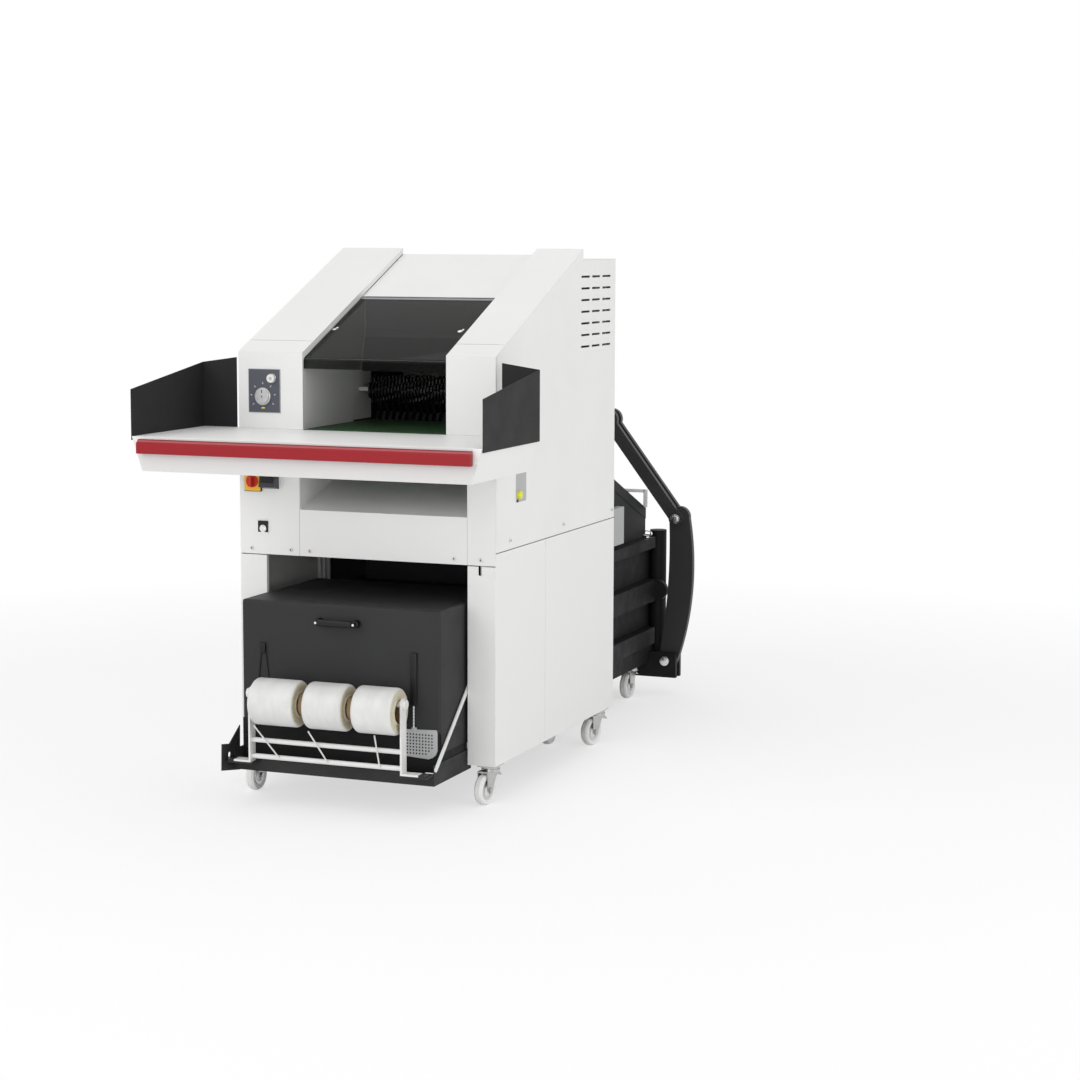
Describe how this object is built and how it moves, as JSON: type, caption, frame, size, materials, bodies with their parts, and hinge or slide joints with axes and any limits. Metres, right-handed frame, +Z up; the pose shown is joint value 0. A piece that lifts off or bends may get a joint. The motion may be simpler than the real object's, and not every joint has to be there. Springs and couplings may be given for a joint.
{
  "type": "recycling baler",
  "caption": "Shredder tower on casters over a horizontal channel baler, with feed table, belt intake, twine rolls and an outlet clamp.",
  "frame": {"origin": "centre of the bounding box plan, on the floor under the casters", "axes": "+X to the operator's right, +Y from the feed table to the outlet, +Z up"},
  "size_m": [1.182, 2.6039, 1.755],
  "materials": {
    "white_paint": "satin powder coat",
    "grey_paint": "satin powder coat",
    "black_paint": "fine-textured powder coat",
    "red_bar": "satin",
    "smoked_sheet": "gloss",
    "black_plastic": "satin",
    "button_plastic": "gloss",
    "red_plastic": "satin",
    "plate_print": "printed, satin",
    "belt": "matte",
    "bright_steel": "brushed",
    "cutter_steel": "ground",
    "zinc": "zinc plated",
    "wheel_grey": "matte",
    "twine": "wound twine",
    "motor_paint": "painted"
  },
  "bodies": {
    "machine": {"caster_plates": "zinc", "tower_frame": "white_paint", "upper_panels": "white_paint", "lower_side_panels": "white_paint", "slope_covers": "white_paint", "front_covers": "white_paint", "middle_cover": "white_paint", "lower_front_covers": "white_paint", "middle_fascia": "white_paint", "feed_table": "white_paint", "table_wings": "black_paint", "control_plate": "plate_print", "switch_and_inlet": "black_plastic", "intake_lining": "black_paint", "feed_unit": "black_paint", "conveyor_belt": "belt", "drive_motor": "motor_paint", "press_channel": "black_paint", "hydraulic_cylinders": "black_paint", "rear_housing": "black_paint", "hood": "black_paint", "handles": "black_paint", "twine_shelf": "black_paint", "roll_holder": "white_paint", "twine_strands": "twine", "binding_tools": "grey_paint", "fasteners": "zinc"},
    "front_left_fork": {"caster_fork_front_left": "zinc"},
    "front_left_wheel": {"caster_wheel_front_left": "wheel_grey"},
    "front_right_fork": {"caster_fork_front_right": "zinc"},
    "front_right_wheel": {"caster_wheel_front_right": "wheel_grey"},
    "rear_left_fork": {"caster_fork_rear_left": "zinc"},
    "rear_left_wheel": {"caster_wheel_rear_left": "wheel_grey"},
    "rear_right_fork": {"caster_fork_rear_right": "zinc"},
    "rear_right_wheel": {"caster_wheel_rear_right": "wheel_grey"},
    "baler_left_fork": {"caster_fork_baler_left": "zinc"},
    "baler_left_wheel": {"caster_wheel_baler_left": "wheel_grey"},
    "baler_right_fork": {"caster_fork_baler_right": "zinc"},
    "baler_right_wheel": {"caster_wheel_baler_right": "wheel_grey"},
    "wheelset": {"middle_wheelset": "wheel_grey"},
    "bar": {"safety_bar": "red_bar"},
    "visor": {"visor": "smoked_sheet"},
    "knob": {"mode_knob": "black_plastic"},
    "button": {"start_button": "button_plastic"},
    "switch_knob": {"main_switch_knob": "red_plastic"},
    "lock": {"cam_lock": "bright_steel"},
    "roller": {"feed_roller": "bright_steel"},
    "drum": {"conveyor_drum": "bright_steel"},
    "lower_shaft": {"lower_cutter": "cutter_steel"},
    "upper_shaft": {"upper_cutter": "cutter_steel"},
    "pinion": {"motor_pinion": "cutter_steel"},
    "ram": {"press_ram": "black_paint"},
    "roll_1": {"twine_roll_1": "twine"},
    "roll_2": {"twine_roll_2": "twine"},
    "roll_3": {"twine_roll_3": "twine"},
    "crosshead": {"clamp_crosshead": "black_paint"},
    "lever_right": {"clamp_lever_right": "black_paint"},
    "arm_right": {"clamp_arm_right": "black_paint"},
    "lever_left": {"clamp_lever_left": "black_paint"},
    "arm_left": {"clamp_arm_left": "black_paint"}
  },
  "joints": [
    {"name": "front_left_swivel", "type": "hinge", "parent": "machine", "child": "front_left_fork", "pos_m": [-0.362, -0.876, 0.113], "axis": [0, 0, 1], "continuous": true},
    {"name": "front_left_roll", "type": "hinge", "parent": "front_left_fork", "child": "front_left_wheel", "pos_m": [-0.362, -0.911, 0.05], "axis": [1, 0, 0], "continuous": true},
    {"name": "front_right_swivel", "type": "hinge", "parent": "machine", "child": "front_right_fork", "pos_m": [0.418, -0.797, 0.113], "axis": [0, 0, 1], "continuous": true},
    {"name": "front_right_roll", "type": "hinge", "parent": "front_right_fork", "child": "front_right_wheel", "pos_m": [0.41313, -0.83166, 0.05], "axis": [0.9903, -0.1392, 0], "continuous": true},
    {"name": "rear_left_swivel", "type": "hinge", "parent": "machine", "child": "rear_left_fork", "pos_m": [-0.418, 0.196, 0.113], "axis": [0, 0, 1], "continuous": true},
    {"name": "rear_left_roll", "type": "hinge", "parent": "rear_left_fork", "child": "rear_left_wheel", "pos_m": [-0.41192, 0.16153, 0.05], "axis": [0.9848, 0.1736, 0], "continuous": true},
    {"name": "rear_right_swivel", "type": "hinge", "parent": "machine", "child": "rear_right_fork", "pos_m": [0.418, 0.196, 0.113], "axis": [0, 0, 1], "continuous": true},
    {"name": "rear_right_roll", "type": "hinge", "parent": "rear_right_fork", "child": "rear_right_wheel", "pos_m": [0.41013, 0.1619, 0.05], "axis": [0.9744, -0.225, 0], "continuous": true},
    {"name": "baler_left_swivel", "type": "hinge", "parent": "machine", "child": "baler_left_fork", "pos_m": [-0.238, 1.089, 0.113], "axis": [0, 0, 1], "continuous": true},
    {"name": "baler_left_roll", "type": "hinge", "parent": "baler_left_fork", "child": "baler_left_wheel", "pos_m": [-0.23617, 1.05405, 0.05], "axis": [0.9986, 0.0523, 0], "continuous": true},
    {"name": "baler_right_swivel", "type": "hinge", "parent": "machine", "child": "baler_right_fork", "pos_m": [0.238, 1.089, 0.113], "axis": [0, 0, 1], "continuous": true},
    {"name": "baler_right_roll", "type": "hinge", "parent": "baler_right_fork", "child": "baler_right_wheel", "pos_m": [0.23617, 1.05405, 0.05], "axis": [0.9986, -0.0523, 0], "continuous": true},
    {"name": "wheelset_roll", "type": "hinge", "parent": "machine", "child": "wheelset", "pos_m": [0, 0.119, 0.05], "axis": [1, 0, 0], "continuous": true},
    {"name": "safety_bar_press", "type": "slide", "parent": "machine", "child": "bar", "axis": [0, 1, 0], "range_m": [0, 0.005], "stiffness_N_per_m": 2000},
    {"name": "visor_lift", "type": "hinge", "parent": "machine", "child": "visor", "pos_m": [0, -0.395, 1.58442], "axis": [-1, 0, 0], "range_deg": [0, 80]},
    {"name": "mode_knob_turn", "type": "hinge", "parent": "machine", "child": "knob", "pos_m": [-0.361, -0.836, 1.28], "axis": [0, 1, 0], "range_deg": [-120, 120]},
    {"name": "start_button_press", "type": "slide", "parent": "machine", "child": "button", "axis": [0, 1, 0], "range_m": [0, 0.004], "stiffness_N_per_m": 300},
    {"name": "main_switch_turn", "type": "hinge", "parent": "machine", "child": "switch_knob", "pos_m": [-0.399, -0.836, 1.005], "axis": [0, 1, 0], "range_deg": [0, 90]},
    {"name": "cam_lock_turn", "type": "hinge", "parent": "machine", "child": "lock", "pos_m": [-0.366, -0.836, 0.85], "axis": [0, 1, 0], "range_deg": [0, 90]},
    {"name": "feed_roller_spin", "type": "hinge", "parent": "machine", "child": "roller", "pos_m": [0, -0.406, 1.284], "axis": [1, 0, 0], "continuous": true},
    {"name": "drum_spin", "type": "hinge", "parent": "machine", "child": "drum", "pos_m": [0, -0.366, 1.1457], "axis": [1, 0, 0], "continuous": true},
    {"name": "lower_cutter_spin", "type": "hinge", "parent": "machine", "child": "lower_shaft", "pos_m": [0, -0.246, 1.14], "axis": [1, 0, 0], "continuous": true},
    {"name": "upper_cutter_spin", "type": "hinge", "parent": "machine", "child": "upper_shaft", "pos_m": [0, -0.246, 1.26], "axis": [1, 0, 0], "continuous": true},
    {"name": "pinion_spin", "type": "hinge", "parent": "machine", "child": "pinion", "pos_m": [0, -0.17529, 1.06929], "axis": [1, 0, 0], "continuous": true},
    {"name": "ram_push", "type": "slide", "parent": "machine", "child": "ram", "axis": [0, 1, 0], "range_m": [0, 0.5]},
    {"name": "roll_1_turn", "type": "hinge", "parent": "machine", "child": "roll_1", "pos_m": [-0.168, -1.126, 0.3413], "axis": [1, 0, 0], "continuous": true},
    {"name": "roll_2_turn", "type": "hinge", "parent": "machine", "child": "roll_2", "pos_m": [0, -1.126, 0.3413], "axis": [1, 0, 0], "continuous": true},
    {"name": "roll_3_turn", "type": "hinge", "parent": "machine", "child": "roll_3", "pos_m": [0.168, -1.126, 0.3413], "axis": [1, 0, 0], "continuous": true},
    {"name": "clamp_slide", "type": "slide", "parent": "machine", "child": "crosshead", "axis": [0, 0, -1], "range_m": [0, 0.04]},
    {"name": "lever_right_swing", "type": "hinge", "parent": "machine", "child": "lever_right", "pos_m": [0.349, 1.2165, 0.135], "axis": [0, 1, 0], "range_deg": [0, 4.3]},
    {"name": "arm_right_swing", "type": "hinge", "parent": "crosshead", "child": "arm_right", "pos_m": [0.099, 1.2165, 1.082], "axis": [0, -1, 0], "range_deg": [0, 6.68]},
    {"name": "lever_left_swing", "type": "hinge", "parent": "machine", "child": "lever_left", "pos_m": [-0.349, 1.2165, 0.135], "axis": [0, -1, 0], "range_deg": [0, 4.3]},
    {"name": "arm_left_swing", "type": "hinge", "parent": "crosshead", "child": "arm_left", "pos_m": [-0.099, 1.2165, 1.082], "axis": [0, 1, 0], "range_deg": [0, 6.68]}
  ],
  "couplings": [
    {"joint": "lever_right_swing", "follows": "clamp_slide", "rad_per_m": 1.8567},
    {"joint": "arm_right_swing", "follows": "clamp_slide", "rad_per_m": 2.894},
    {"joint": "lever_left_swing", "follows": "clamp_slide", "rad_per_m": 1.8567},
    {"joint": "arm_left_swing", "follows": "clamp_slide", "rad_per_m": 2.894},
    {"joint": "upper_cutter_spin", "follows": "lower_cutter_spin", "ratio": -1},
    {"joint": "pinion_spin", "follows": "lower_cutter_spin", "ratio": -1.5},
    {"joint": "drum_spin", "follows": "feed_roller_spin", "ratio": -1.3994}
  ]
}
